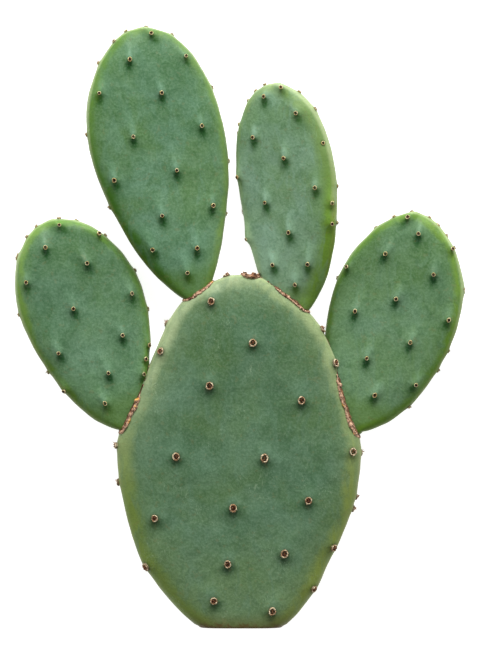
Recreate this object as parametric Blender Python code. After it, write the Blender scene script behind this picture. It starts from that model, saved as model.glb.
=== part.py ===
"""Prickly pear cutting: one cut basal pad with four younger pads grown on its rim, lying on its back.

Run with: blender --background --python part.py
Metres, +Z up. +Y runs from the cut end to the youngest tips, and +Z leaves the front faces.
Each pad is a loft of flattened superellipse sections along its own axis, in its own frame:
u runs across the pad, v along it from the joint to the tip, and w out of its front face.
"""

import math
from typing import NamedTuple

import bmesh
import bpy
from mathutils import Matrix, Vector

MM = 0.001

# Clearances between pieces that touch in the plant.
GAP = 0.3 * MM
CORK = 2.0 * MM  # the corky layer that fills each joint

# How finely the pads are faceted, and the edges that stay sharp when shaded.
AROUND = 28
STATIONS = 20
SHARP = math.radians(50)

# A section is |u/half_width|^FACE + |w/half_thickness|^EDGE = 1: flat faces and a rounded rim.
FACE = 4.6
EDGE = 2.2

NECK_POWER = 3  # how suddenly a pad thins towards its joint
TWIST_LENGTH = 60  # millimetres of a pad along which its twist fades out


# Colour and roughness of each finish.
FINISHES = {
    "basal_skin": ((0.085, 0.190, 0.095), 0.50),
    "young_skin": ((0.100, 0.220, 0.100), 0.45),
    "cork": ((0.220, 0.110, 0.055), 0.90),
    "areole_felt": ((0.300, 0.190, 0.090), 0.95),
}


class Pad(NamedTuple):
    """A pad's own shape in millimetres and how it is set on the plant.

    left and right are the outline: pairs of a station along the axis and the reach from it.
    They start where the solid starts and end at the tip.
    """

    left: tuple
    right: tuple
    half_thickness: float
    thickest_at: float
    neck: float = 0.55  # thickness at the start over the greatest thickness
    bend: float = 0.0  # sideways drift of the tip
    curl: float = 0.0  # lift of the tip towards the front
    joint: tuple = (0.0, 0.0)
    lean: float = 0.0  # turn in plan, anticlockwise, degrees
    pitch: float = 0.0  # tip up, degrees
    roll: float = 0.0  # left edge up, degrees
    twist: float = 0.0  # added to the roll at the joint, degrees


MOTHER = Pad(
    left=(
        (0, 28), (12, 41.5), (30, 57), (52, 70), (76, 78), (100, 83), (124, 85),
        (142, 81), (162, 71.5), (185, 61.5), (210, 51), (226, 40.5), (237, 23.5), (243, 0),
    ),
    right=(
        (0, 30.5), (12, 42.5), (30, 54.5), (52, 65.5), (76, 76), (100, 81.5), (124, 83),
        (142, 79), (162, 72), (185, 64.5), (210, 52), (226, 36.5), (237, 20.5), (243, 0),
    ),
    half_thickness=13,
    thickest_at=122,
    neck=0.8,
    bend=3,
)

DAUGHTERS = {
    "pad_upper_left": Pad(
        left=(
            (-12, 7.5), (3, 20), (30, 34), (64, 44.5), (94, 49.5),
            (125, 46.5), (151, 36), (168, 22), (178, 0),
        ),
        right=(
            (-12, 6), (3, 17), (30, 29.5), (64, 41), (94, 45.5),
            (125, 43.5), (151, 35.5), (168, 24), (178, 0),
        ),
        half_thickness=9.5,
        thickest_at=92,
        bend=1,
        curl=4,
        joint=(-32, 239),
        lean=13.4,
        roll=10,
        twist=-6,
    ),
    "pad_upper_right": Pad(
        left=(
            (-12, 6.5), (1, 15), (23, 23), (51, 29.5), (80, 32.5),
            (105, 31.5), (126, 25), (139, 16.5), (147, 0),
        ),
        right=(
            (-12, 11), (1, 21), (23, 31), (51, 37.5), (80, 39.5),
            (105, 37), (126, 30), (139, 19.5), (147, 0),
        ),
        half_thickness=9,
        thickest_at=80,
        bend=-3.5,
        curl=3,
        joint=(35, 228),
        lean=2.9,
        pitch=4.6,
        roll=-24,
        twist=16,
    ),
    "pad_lower_left": Pad(
        left=(
            (-15, 6.5), (-7, 15.5), (0, 21), (21, 31), (48, 38), (72, 40.5),
            (96, 38.5), (117, 30), (130, 19), (138, 0),
        ),
        right=(
            (-15, 5), (-7, 11.5), (0, 17.5), (21, 30), (48, 41), (72, 45.5),
            (96, 42.5), (117, 33), (130, 21), (138, 0),
        ),
        half_thickness=9,
        thickest_at=72,
        bend=1,
        curl=3,
        joint=(-81, 152),
        lean=23.3,
        roll=8,
        twist=-4,
    ),
    "pad_lower_right": Pad(
        left=(
            (-15, 6.5), (-8, 15.5), (0, 23.5), (21, 34), (49, 41.5), (73, 43.5),
            (97, 39), (119, 28.5), (132, 17), (140, 0),
        ),
        right=(
            (-15, 6.5), (-8, 15.5), (0, 23.5), (21, 35.5), (49, 43.5), (73, 46),
            (97, 43.5), (119, 33.5), (132, 20.5), (140, 0),
        ),
        half_thickness=9,
        thickest_at=75,
        bend=-4.5,
        curl=3,
        joint=(84, 151),
        lean=-19,
        pitch=0.5,
        roll=-10,
        twist=5,
    ),
}

# The basal pad's back is pressed flat where it lies: this share of its half thickness is left.
PRESSED = 0.95

# Joint cork, one plate for each young pad: the height of its middle on the basal pad's rim
# above the cut, its half length along the rim and its half depth across it.
CORK_PLATES = {
    "cork_upper_left": ("left", 232.5, 14.5, 6.6),
    "cork_upper_right": ("right", 228, 16.5, 6.8),
    "cork_lower_left": ("left", 148, 15.0, 6.4),
    "cork_lower_right": ("right", 146, 15.0, 6.4),
}
CORK_PLUG = 6.0  # half length of the plug that a plate is cut from
CORK_SIDES = 18

# Areoles of the basal pad: felt cushions in shallow sockets.
AREOLE_RADIUS = 3.0 * MM
AREOLE_HEIGHT = 2.4 * MM
AREOLE_SEAT = 0.9 * MM  # depth of a socket on the front and on the rim
AREOLE_SEAT_BACK = 3.2 * MM  # the ones underneath are pressed in flush
AREOLE_SIDES = 10

# The outline of a cushion from its foot to its top, as shares of its radius and height:
# upright sides, a raised ring and a tuft in the middle.
CUSHION = ((0.0, 0.0), (1.0, 0.0), (1.0, 0.55), (0.72, 0.88), (0.42, 0.70), (0.0, 1.0))

# Places of the areoles on the front, as (u, v) in millimetres.
FRONT_AREOLES = [
    (9, 196),
    (-20, 167),
    (43, 157),
    (-43, 118),
    (17, 117),
    (-58, 76),
    (-3, 83),
    (48, 88),
    (-8, 44),
    (31, 52),
    (-17, 19),
    (23, 12),
    (-19, 224),
    (-53, 190),
    (65, 182),
]

# Areoles of the rim, as (side, v, turn): a turn of 0 is the rim's middle, 90 the front face.
RIM_AREOLES = [
    ("left", 42, 22),
    ("left", 100, -6),
    ("left", 125, 8),
    ("left", 209, -4),
    ("left", 241.6, 12),
    ("right", 27, 26),
    ("right", 55, 24),
    ("right", 81.5, -8),
    ("right", 90, -4),
    ("right", 120, -10),
    ("right", 121, 34),
    ("right", 205, 10),
]

# The back carries the front's pattern the other way round, a little further along.
BACK_SHIFT = 9
BACK_LENGTH = 205
BACK_REACH = 60

# The scar of a fallen fruit on the basal pad's top.
SCAR_PLACE = ("right", 242.6, 2)
SCAR_RADIUS = 5.5 * MM
SCAR_HEIGHT = 4.0 * MM
SCAR_SEAT = 0.9 * MM
SCAR_SIDES = 14


def clear_scene():
    for obj in list(bpy.data.objects):
        bpy.data.objects.remove(obj, do_unlink=True)


def material(name):
    """The Principled material of one finish, made once."""
    made = bpy.data.materials.get(name)
    if made is None:
        colour, roughness = FINISHES[name]
        made = bpy.data.materials.new(name)
        made.use_nodes = True
        shader = made.node_tree.nodes["Principled BSDF"]
        shader.inputs["Base Color"].default_value = (*colour, 1.0)
        shader.inputs["Roughness"].default_value = roughness
        shader.inputs["Metallic"].default_value = 0.0
        made.diffuse_color = (*colour, 1.0)
    return made


def add_object(name, mesh, finish, parent):
    """A smooth-shaded object for a finished bmesh."""
    data = bpy.data.meshes.new(name)
    mesh.to_mesh(data)
    mesh.free()
    data.shade_smooth()
    data.set_sharp_from_angle(angle=SHARP)
    obj = bpy.data.objects.new(name, data)
    bpy.context.scene.collection.objects.link(obj)
    obj.parent = parent
    if finish:
        data.materials.append(finish)
    return obj


def as_helper(obj):
    """Marks a cutter, which shapes its neighbours and isn't a piece of the plant."""
    obj.hide_render = True
    obj.display_type = "WIRE"
    return obj


def boolean(obj, other, operation):
    cut = obj.modifiers.new(f"{operation.lower()}_{other.name}", "BOOLEAN")
    cut.operation = operation
    cut.solver = "EXACT"
    cut.object = other


# ---- The pads' shape ----


def reach_at(knots, v):
    """The outline's reach at station v: a smooth cubic through the squared reaches.

    A squared reach falls to nothing in a straight line at a round tip, so the tip stays round.
    """
    v = max(knots[0][0], min(knots[-1][0], v))
    at = [station for station, _ in knots]
    square = [reach**2 for _, reach in knots]
    i = max(k for k in range(len(knots) - 1) if at[k] <= v)
    width = at[i + 1] - at[i]
    share = (v - at[i]) / width
    before, after = slope_at(at, square, i) * width, slope_at(at, square, i + 1) * width
    rise = square[i + 1] - square[i]
    bow = (before - rise) * (1 - share) - (after - rise) * share
    level = square[i] + share * rise + share * (1 - share) * bow
    return math.sqrt(max(0.0, level))


def slope_at(at, square, i):
    first, last = max(0, i - 1), min(len(at) - 1, i + 1)
    return (square[last] - square[first]) / (at[last] - at[first])


def half_thickness(pad, v):
    """Half of the pad's greatest thickness at station v, in millimetres."""
    start, length = pad.left[0][0], pad.left[-1][0]
    if v >= pad.thickest_at:
        share = min(1.0, (v - pad.thickest_at) / (length - pad.thickest_at))
        return pad.half_thickness * (1.0 - share**FACE) ** (1.0 / EDGE)
    share = (pad.thickest_at - v) / (pad.thickest_at - start)
    return pad.half_thickness * (1.0 - (1.0 - pad.neck) * share**NECK_POWER)


def signed_power(value, power):
    return math.copysign(abs(value) ** power, value)


def pad_point(pad, v, turn, swell=0.0):
    """The surface point at station v, in metres, swollen outwards by swell metres.

    A turn of 0 is the right-hand rim, 90 degrees the middle of the front face.
    """
    length = pad.left[-1][0]
    left, right = reach_at(pad.left, v), reach_at(pad.right, v)
    half = (left + right) / 2 * MM + swell
    middle = ((right - left) / 2 + pad.bend * (v / length) ** 2) * MM
    thick = half_thickness(pad, v) * MM + swell
    lift = pad.curl * (max(0.0, v) / length) ** 2 * MM
    u = middle + half * signed_power(math.cos(turn), 2.0 / FACE)
    w = lift + thick * signed_power(math.sin(turn), 2.0 / EDGE)
    fade = (1.0 - max(0.0, min(1.0, v / TWIST_LENGTH))) ** 2
    twist = math.radians(pad.twist) * fade
    across = u * math.cos(twist) + w * math.sin(twist)
    out = w * math.cos(twist) - u * math.sin(twist)
    return Vector((across, v * MM, out))


def pad_normal(pad, v, turn):
    """The outward direction of the surface, from small steps along it."""
    step_v, step_turn = 0.2, math.radians(0.5)
    v = min(v, pad.left[-1][0] - 2 * step_v)
    along = pad_point(pad, v + step_v, turn) - pad_point(pad, v - step_v, turn)
    around = pad_point(pad, v, turn + step_turn) - pad_point(pad, v, turn - step_turn)
    return along.cross(around).normalized()


def stations(pad, count):
    """Stations from the start to just short of the tip, closer together towards both ends."""
    start, length = pad.left[0][0], pad.left[-1][0]
    shares = [(1.0 - math.cos(math.pi * i / count)) / 2 for i in range(count)]
    return [start + (length - start) * share for share in shares]


def pad_mesh(pad, swell=0.0, floor=None):
    """The closed loft of one pad in its own frame. A floor, in metres, flattens the back."""
    mesh = bmesh.new()
    turns = [2 * math.pi * i / AROUND for i in range(AROUND)]
    rings = []
    for v in stations(pad, STATIONS):
        points = [pad_point(pad, v, turn, swell) for turn in turns]
        if not rings:
            points = [p - Vector((0, swell, 0)) for p in points]
        if floor is not None:
            points = [Vector((p.x, p.y, max(p.z, floor))) for p in points]
        rings.append([mesh.verts.new(p) for p in points])
    tip = Vector((pad.bend * MM, pad.left[-1][0] * MM + swell, pad.curl * MM))
    tip_vert = mesh.verts.new(tip)
    for below, above in zip(rings, rings[1:]):
        for i in range(AROUND):
            j = (i + 1) % AROUND
            mesh.faces.new((below[i], above[i], above[j], below[j]))
    for i in range(AROUND):
        mesh.faces.new((rings[-1][i], tip_vert, rings[-1][(i + 1) % AROUND]))
    mesh.faces.new(rings[0])
    bmesh.ops.recalc_face_normals(mesh, faces=mesh.faces)
    return mesh


def pad_placement(pad, height):
    """Sets a young pad on the plant: its joint, then its lean, pitch and roll."""
    x, y = pad.joint
    return (
        Matrix.Translation((x * MM, y * MM, height))
        @ Matrix.Rotation(math.radians(pad.lean), 4, "Z")
        @ Matrix.Rotation(math.radians(pad.pitch), 4, "X")
        @ Matrix.Rotation(math.radians(pad.roll), 4, "Y")
    )


def lowest(obj, placement):
    return min((placement @ vert.co).z for vert in obj.data.vertices)


# ---- Small pieces seated on the basal pad ----


def turn_at(pad, u, v):
    """The turn at which the front surface stands over u at station v, both in millimetres."""
    left, right = reach_at(pad.left, v), reach_at(pad.right, v)
    middle = (right - left) / 2 + pad.bend * (v / pad.left[-1][0]) ** 2
    across = (u - middle) / ((left + right) / 2)
    across = max(-0.999, min(0.999, across))
    return math.acos(signed_power(across, FACE / 2.0))


def rim_turn(side, degrees):
    turn = math.radians(degrees)
    return turn if side == "right" else math.pi - turn


def seat_at(pad, v, turn, depth):
    """A frame on the surface, sunk by depth: its z axis leaves the surface."""
    normal = pad_normal(pad, v, turn)
    place = pad_point(pad, v, turn) - normal * depth
    across = Vector((0, 1, 0)).cross(normal)
    if across.length < 0.2:
        across = Vector((1, 0, 0))
    across.normalize()
    upward = normal.cross(across).normalized()
    across = upward.cross(normal)
    return Matrix.Translation(place) @ Matrix((across, upward, normal)).transposed().to_4x4()


def turned_mesh(profile, sides):
    """A closed solid of revolution. The profile runs from the axis at the foot to the axis on top."""
    mesh = bmesh.new()
    foot = mesh.verts.new((0, 0, profile[0][1]))
    top = mesh.verts.new((0, 0, profile[-1][1]))
    rings = []
    for radius, height in profile[1:-1]:
        angles = [2 * math.pi * i / sides for i in range(sides)]
        ring = [(radius * math.cos(a), radius * math.sin(a), height) for a in angles]
        rings.append([mesh.verts.new(p) for p in ring])
    for i in range(sides):
        j = (i + 1) % sides
        mesh.faces.new((foot, rings[0][j], rings[0][i]))
        mesh.faces.new((top, rings[-1][i], rings[-1][j]))
        for below, above in zip(rings, rings[1:]):
            mesh.faces.new((below[i], below[j], above[j], above[i]))
    bmesh.ops.recalc_face_normals(mesh, faces=mesh.faces)
    return mesh


def cushion_mesh(radius, height, sides):
    return turned_mesh([(radius * out, height * up) for out, up in CUSHION], sides)


def socket_mesh(seats, radius, sides):
    """Cutters for all the sockets in one mesh, each GAP wider and deeper than its cushion."""
    mesh = bmesh.new()
    reach = AREOLE_HEIGHT + AREOLE_SEAT_BACK
    for seat in seats:
        centre = seat @ Matrix.Translation((0, 0, reach / 2 - GAP))
        bmesh.ops.create_cone(
            mesh,
            cap_ends=True,
            segments=sides,
            radius1=radius + GAP,
            radius2=radius + GAP,
            depth=reach,
            matrix=centre,
        )
    return mesh


def areole_seats():
    """(name, seat) for each areole of the basal pad."""
    seats = []
    for i, (u, v) in enumerate(FRONT_AREOLES, 1):
        turn = turn_at(MOTHER, u, v)
        seats.append((f"areole_front_{i:02d}", seat_at(MOTHER, v, turn, AREOLE_SEAT)))
    for i, (side, v, degrees) in enumerate(RIM_AREOLES, 1):
        turn = rim_turn(side, degrees)
        seats.append((f"areole_rim_{i:02d}", seat_at(MOTHER, v, turn, AREOLE_SEAT)))
    back = [(-u, v + BACK_SHIFT) for u, v in FRONT_AREOLES]
    back = [(u, v) for u, v in back if v <= BACK_LENGTH and abs(u) <= BACK_REACH]
    for i, (u, v) in enumerate(back, 1):
        turn = -turn_at(MOTHER, u, v)
        seat = seat_at(MOTHER, v, turn, AREOLE_SEAT_BACK)
        seats.append((f"areole_back_{i:02d}", seat))
    return seats


def build_areoles(mother):
    finish = material("areole_felt")
    seats = areole_seats()
    for name, seat in seats:
        mesh = cushion_mesh(AREOLE_RADIUS, AREOLE_HEIGHT, AREOLE_SIDES)
        cushion = add_object(name, mesh, finish, mother)
        cushion.matrix_local = seat
    sockets = socket_mesh([seat for _, seat in seats], AREOLE_RADIUS, AREOLE_SIDES)
    cutter = as_helper(add_object("socket_cutter", sockets, None, mother))
    boolean(mother, cutter, "DIFFERENCE")


def build_scar(mother):
    side, v, degrees = SCAR_PLACE
    turn = rim_turn(side, degrees)
    seat = seat_at(MOTHER, v, turn, SCAR_SEAT)
    mesh = cushion_mesh(SCAR_RADIUS, SCAR_HEIGHT, SCAR_SIDES)
    scar = add_object("fruit_scar", mesh, material("cork"), mother)
    scar.matrix_local = seat
    socket = socket_mesh([seat], SCAR_RADIUS, SCAR_SIDES)
    cutter = as_helper(add_object("scar_socket_cutter", socket, None, mother))
    boolean(mother, cutter, "DIFFERENCE")


# ---- The pads and their joints ----


def swollen_mother(name, swell, mother):
    """A helper solid: the basal pad's own shape, swollen outwards."""
    return as_helper(add_object(name, pad_mesh(MOTHER, swell), None, mother))


def build_mother(root):
    pressed = -PRESSED * MOTHER.half_thickness * MM
    skin = material("basal_skin")
    mother = add_object("basal_pad", pad_mesh(MOTHER, floor=pressed), skin, root)
    mother.location.z = -pressed
    return mother


def build_cork(name, mother, core, sheath):
    """A plate of cork that hugs the basal pad's rim: an oval plug kept between two shells."""
    side, v, half_length, half_depth = CORK_PLATES[name]
    turn = rim_turn(side, 0)
    seat = seat_at(MOTHER, v, turn, 0.0)
    mesh = bmesh.new()
    bmesh.ops.create_cone(
        mesh,
        cap_ends=True,
        segments=CORK_SIDES,
        radius1=MM,
        radius2=MM,
        depth=2 * MM,
        matrix=Matrix.Diagonal((half_depth, half_length, CORK_PLUG, 1)),
    )
    plate = add_object(name, mesh, material("cork"), mother)
    plate.matrix_local = seat
    boolean(plate, sheath, "INTERSECT")
    boolean(plate, core, "DIFFERENCE")


def build_daughter(name, mother, cutter, root):
    """A young pad, let down until it touches the surface the plant lies on, and cut at its joint."""
    pad = DAUGHTERS[name]
    skin = material("young_skin")
    obj = add_object(name, pad_mesh(pad), skin, root)
    height = GAP - lowest(obj, pad_placement(pad, 0.0))
    obj.matrix_local = pad_placement(pad, height)
    boolean(obj, cutter, "DIFFERENCE")


def centre_on_footprint(root):
    """Moves the plant so that the origin is under the middle of its box."""
    bpy.context.view_layer.update()
    graph = bpy.context.evaluated_depsgraph_get()
    corners = []
    for obj in bpy.context.scene.objects:
        if obj.type == "MESH" and not obj.hide_render:
            shown = obj.evaluated_get(graph)
            corners += [shown.matrix_world @ vert.co for vert in shown.data.vertices]
    for axis in (0, 1):
        values = [corner[axis] for corner in corners]
        root.location[axis] -= (min(values) + max(values)) / 2


def main():
    clear_scene()
    root = bpy.data.objects.new("plant", None)
    bpy.context.scene.collection.objects.link(root)
    mother = build_mother(root)
    core = swollen_mother("cork_inner_cutter", GAP, mother)
    sheath = swollen_mother("cork_outer_cutter", GAP + CORK, mother)
    seam = swollen_mother("seam_cutter", 2 * GAP + CORK, mother)
    build_areoles(mother)
    build_scar(mother)
    for name in CORK_PLATES:
        build_cork(name, mother, core, sheath)
    for name in DAUGHTERS:
        build_daughter(name, mother, seam, root)
    centre_on_footprint(root)


main()
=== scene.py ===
"""Looks of a prickly pear cutting: waxy skins, felted areoles with glochids, corky joints and a dried cut.

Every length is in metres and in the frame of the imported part, unless a name or a comment says millimetres.
Each pad is a loft in its own frame: u runs across it, v from its joint to its tip, w out of its front.
"""

import math
import random
from typing import NamedTuple

import bmesh
import bpy
import numpy as np
from mathutils import Matrix, Vector, kdtree, noise
from mathutils.bvhtree import BVHTree


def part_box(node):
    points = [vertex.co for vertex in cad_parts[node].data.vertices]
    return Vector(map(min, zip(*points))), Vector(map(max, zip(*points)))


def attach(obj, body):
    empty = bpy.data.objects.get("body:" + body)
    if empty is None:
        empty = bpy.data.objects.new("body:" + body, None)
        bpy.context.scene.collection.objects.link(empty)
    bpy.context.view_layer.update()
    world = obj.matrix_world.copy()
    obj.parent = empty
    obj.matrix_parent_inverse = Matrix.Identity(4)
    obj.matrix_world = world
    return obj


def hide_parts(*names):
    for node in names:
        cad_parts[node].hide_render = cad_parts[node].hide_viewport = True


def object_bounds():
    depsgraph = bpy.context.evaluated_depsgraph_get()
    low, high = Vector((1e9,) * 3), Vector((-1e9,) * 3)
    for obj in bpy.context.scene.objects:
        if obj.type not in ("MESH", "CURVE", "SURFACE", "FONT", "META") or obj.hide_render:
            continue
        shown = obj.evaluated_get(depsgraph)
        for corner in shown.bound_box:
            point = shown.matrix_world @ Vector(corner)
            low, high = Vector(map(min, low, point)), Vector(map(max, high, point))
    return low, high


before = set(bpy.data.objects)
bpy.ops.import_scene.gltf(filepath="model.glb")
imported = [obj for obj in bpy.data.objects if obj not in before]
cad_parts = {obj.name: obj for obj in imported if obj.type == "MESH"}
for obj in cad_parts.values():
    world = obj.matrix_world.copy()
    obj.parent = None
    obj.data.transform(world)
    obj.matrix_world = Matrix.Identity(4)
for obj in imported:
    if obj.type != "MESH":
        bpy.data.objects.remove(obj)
CAD_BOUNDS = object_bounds()

MM = 0.001
TO_METRES = Matrix.Diagonal((MM, MM, MM, 1))

# A section of a pad is |u/half_width|^FACE + |w/half_thickness|^EDGE = 1.
FACE = 4.6
EDGE = 2.2
NECK_POWER = 3  # how suddenly a pad thins towards its joint
TWIST_LENGTH = 60  # millimetres of a pad along which its twist fades out
LEFT, RIGHT = 1, 2  # sides, as places in an outline's rows


class Pad(NamedTuple):
    """A pad's shape in millimetres, as in the part."""

    outline: tuple  # (station, reach to the left, reach to the right), from the joint to the tip
    half_thickness: float
    thickest_at: float
    neck: float = 0.55
    bend: float = 0.0
    curl: float = 0.0
    joint: tuple = (0.0, 0.0)
    lean: float = 0.0
    pitch: float = 0.0
    roll: float = 0.0
    twist: float = 0.0

    @property
    def start(self):
        return self.outline[0][0]

    @property
    def length(self):
        return self.outline[-1][0]


MOTHER = Pad(
    (
        (0, 28, 30.5), (12, 41.5, 42.5), (30, 57, 54.5), (52, 70, 65.5), (76, 78, 76), (100, 83, 81.5),
        (124, 85, 83), (142, 81, 79), (162, 71.5, 72), (185, 61.5, 64.5), (210, 51, 52), (226, 40.5, 36.5),
        (237, 23.5, 20.5), (243, 0, 0),
    ),
    half_thickness=13, thickest_at=122, neck=0.8, bend=3,
)

DAUGHTERS = {
    "pad_upper_left": Pad(
        (
            (-12, 7.5, 6), (3, 20, 17), (30, 34, 29.5), (64, 44.5, 41), (94, 49.5, 45.5), (125, 46.5, 43.5),
            (151, 36, 35.5), (168, 22, 24), (178, 0, 0),
        ),
        half_thickness=9.5, thickest_at=92, bend=1, curl=4, joint=(-32, 239), lean=13.4, roll=10, twist=-6,
    ),
    "pad_upper_right": Pad(
        (
            (-12, 6.5, 11), (1, 15, 21), (23, 23, 31), (51, 29.5, 37.5), (80, 32.5, 39.5), (105, 31.5, 37),
            (126, 25, 30), (139, 16.5, 19.5), (147, 0, 0),
        ),
        half_thickness=9, thickest_at=80, bend=-3.5, curl=3, joint=(35, 228), lean=2.9, pitch=4.6, roll=-24,
        twist=16,
    ),
    "pad_lower_left": Pad(
        (
            (-15, 6.5, 5), (-7, 15.5, 11.5), (0, 21, 17.5), (21, 31, 30), (48, 38, 41), (72, 40.5, 45.5),
            (96, 38.5, 42.5), (117, 30, 33), (130, 19, 21), (138, 0, 0),
        ),
        half_thickness=9, thickest_at=72, bend=1, curl=3, joint=(-81, 152), lean=23.3, roll=8, twist=-4,
    ),
    "pad_lower_right": Pad(
        (
            (-15, 6.5, 6.5), (-8, 15.5, 15.5), (0, 23.5, 23.5), (21, 34, 35.5), (49, 41.5, 43.5),
            (73, 43.5, 46), (97, 39, 43.5), (119, 28.5, 33.5), (132, 17, 20.5), (140, 0, 0),
        ),
        half_thickness=9, thickest_at=75, bend=-4.5, curl=3, joint=(84, 151), lean=-19, pitch=0.5, roll=-10,
        twist=5,
    ),
}

# The young pads' areoles. On the front: (u, v) in millimetres. On the rim: (v, turn), where a turn
# of 0 degrees is the right rim's middle, 90 the front face and 180 the left rim's middle.
FRONT_AREOLES = {
    "pad_upper_left": (
        (10, 171), (-9, 157), (29, 151), (-34, 139), (7, 130), (29, 102), (-19, 105), (5, 76),
        (-38, 79), (24, 47), (-12, 48), (-23, 27), (7, 21), (-3, 6),
    ),
    "pad_upper_right": (
        (5, 143), (-7, 138), (16, 126), (-16, 111), (6, 96), (33, 105), (-30, 84), (27, 75),
        (-10, 66), (6, 45), (35, 50), (-26, 41), (-8, 23), (17, 23), (6, 9),
    ),
    "pad_lower_left": (
        (9, 131), (31, 115), (-6, 121), (16, 100), (-27, 104), (36, 69), (-5, 75), (19, 45),
        (-26, 51), (0, 25), (-31, 26), (-10, 7),
    ),
    "pad_lower_right": (
        (-11, 134), (0, 126), (-17, 106), (-39, 89), (19, 103), (24, 123), (0, 79), (-24, 62),
        (38, 77), (19, 54), (-6, 34), (31, 28), (7, 12),
    ),
}
RIM_AREOLES = {
    "pad_upper_left": (
        (177, 0), (177, 160), (172, 156), (160, 176), (114, 180), (168, 6), (127, 4), (75, -4), (62, 186),
        (40, -8),
    ),
    "pad_upper_right": (
        (146, 176), (142, 180), (136, 176), (120, 172), (140, -4), (128, 0), (75, -8), (64, 30), (50, -8),
        (60, 184),
    ),
    "pad_lower_left": (
        (130, -6), (136, 30), (137, 150), (133, 164), (122, 180), (86, 180), (42, 184), (113, 4), (83, 4),
        (55, 6), (32, 34), (24, 46), (15, 52),
    ),
    "pad_lower_right": (
        (132, 160), (121, 186), (139, 174), (139, 30), (136, 24), (131, 12), (125, 8), (100, 0), (57, -4),
        (42, -4), (12, 6), (80, 184), (40, 170),
    ),
}
BACK_SHIFT = 9  # the back repeats the front's pattern the other way round, further along
JOINT_MARGIN = 1.6  # millimetres from the basal pad within which a young pad has no areoles

# ---- The pads' plain shape ----


def slope_at(at, square, i):
    first, last = max(0, i - 1), min(len(at) - 1, i + 1)
    return (square[last] - square[first]) / (at[last] - at[first])


def reach_at(pad, v, side):
    """The outline's reach at station v, from a smooth cubic through the squares of its reaches."""
    v = max(pad.start, min(pad.length, v))
    at = [knot[0] for knot in pad.outline]
    square = [knot[side] ** 2 for knot in pad.outline]
    i = max(k for k in range(len(at) - 1) if at[k] <= v)
    width = at[i + 1] - at[i]
    share = (v - at[i]) / width
    before, after = slope_at(at, square, i) * width, slope_at(at, square, i + 1) * width
    rise = square[i + 1] - square[i]
    bow = (before - rise) * (1 - share) - (after - rise) * share
    return math.sqrt(max(0.0, square[i] + share * rise + share * (1 - share) * bow))


def half_thickness(pad, v):
    if v >= pad.thickest_at:
        share = min(1.0, (v - pad.thickest_at) / (pad.length - pad.thickest_at))
        return pad.half_thickness * (1.0 - share**FACE) ** (1.0 / EDGE)
    share = (pad.thickest_at - v) / (pad.thickest_at - pad.start)
    return pad.half_thickness * (1.0 - (1.0 - pad.neck) * share**NECK_POWER)


def section(pad, v):
    """The middle, half width, lift, half thickness and twist of the section at station v."""
    left, right = reach_at(pad, v, LEFT), reach_at(pad, v, RIGHT)
    middle = (right - left) / 2 + pad.bend * (v / pad.length) ** 2
    lift = pad.curl * (max(0.0, v) / pad.length) ** 2
    fade = (1.0 - max(0.0, min(1.0, v / TWIST_LENGTH))) ** 2
    return middle, (left + right) / 2, lift, half_thickness(pad, v), math.radians(pad.twist) * fade


def ring(pad, v, turns):
    """The points of one section in the pad's own frame, in millimetres."""
    middle, half, lift, thick, twist = section(pad, v)
    cos, sin = np.cos(turns), np.sin(turns)
    u = middle + half * np.sign(cos) * np.abs(cos) ** (2.0 / FACE)
    w = lift + thick * np.sign(sin) * np.abs(sin) ** (2.0 / EDGE)
    across = u * math.cos(twist) + w * math.sin(twist)
    out = w * math.cos(twist) - u * math.sin(twist)
    return np.stack([across, np.full_like(u, v), out], axis=1)


def even_turns(pad, count):
    """Turns that space the points of the widest section evenly along it."""
    shares = np.linspace(0.0, 1.0, 150)
    quarter = np.concatenate([np.arccos(shares ** (FACE / 2)), np.arcsin(shares ** (EDGE / 2))])
    quarter = np.unique(np.round(quarter, 9))
    turns = np.unique(np.concatenate([quarter + k * math.pi / 2 for k in range(4)]))
    points = ring(pad, pad.thickest_at, turns)
    steps = np.linalg.norm(np.diff(points, axis=0), axis=1)
    along = np.concatenate([[0.0], np.cumsum(steps)])
    return np.interp(np.linspace(0.0, along[-1], count, endpoint=False), along, turns)


def turn_at(pad, u, v):
    """The turn at which the front surface stands over u at station v."""
    middle, half, _, _, _ = section(pad, v)
    across = max(-0.999, min(0.999, (u - middle) / half))
    return math.acos(math.copysign(abs(across) ** (FACE / 2), across))


def surface_at(pad, v, turn):
    """The point, the outward direction and the direction towards the tip, in millimetres."""
    step_v, step_turn = 0.2, math.radians(0.5)
    v = min(v, pad.length - 2 * step_v)

    def at(ahead, round_it):
        return Vector(ring(pad, v + ahead, np.array([turn + round_it]))[0])

    along = (at(step_v, 0) - at(-step_v, 0)).normalized()
    normal = along.cross(at(0, step_turn) - at(0, -step_turn)).normalized()
    return at(0, 0), normal, along


def placement_of(name, pad, root):
    """Where the pad's own frame, in millimetres, lies in the part's frame, from the pad's CAD box."""
    turned = (
        Matrix.Rotation(math.radians(pad.lean), 4, "Z")
        @ Matrix.Rotation(math.radians(pad.pitch), 4, "X")
        @ Matrix.Rotation(math.radians(pad.roll), 4, "Y")
    )
    x, y = root.x + pad.joint[0] * MM, root.y + pad.joint[1] * MM
    turns = even_turns(pad, 60)
    free = np.linspace(pad.start + 20, pad.length, 40)  # stations clear of the basal pad
    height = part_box(name)[0].z - min((turned @ Vector(p)).z for v in free for p in ring(pad, v, turns)) * MM
    return Matrix.Translation((x, y, height)) @ turned @ TO_METRES


def root_of_plant():
    """The point in the part's frame from which the joints' places are counted."""
    low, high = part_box("basal_pad")
    widest = [section(MOTHER, v) for v in range(100, 140)]
    reach_left = max(half - middle for middle, half, *_ in widest)
    reach_right = max(half + middle for middle, half, *_ in widest)
    x = (low.x + high.x) / 2 - (reach_right - reach_left) / 2 * MM
    return Vector((x, low.y, high.z - MOTHER.half_thickness * MM))


# ---- Areoles: where they sit, and the swellings under them ----


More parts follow.
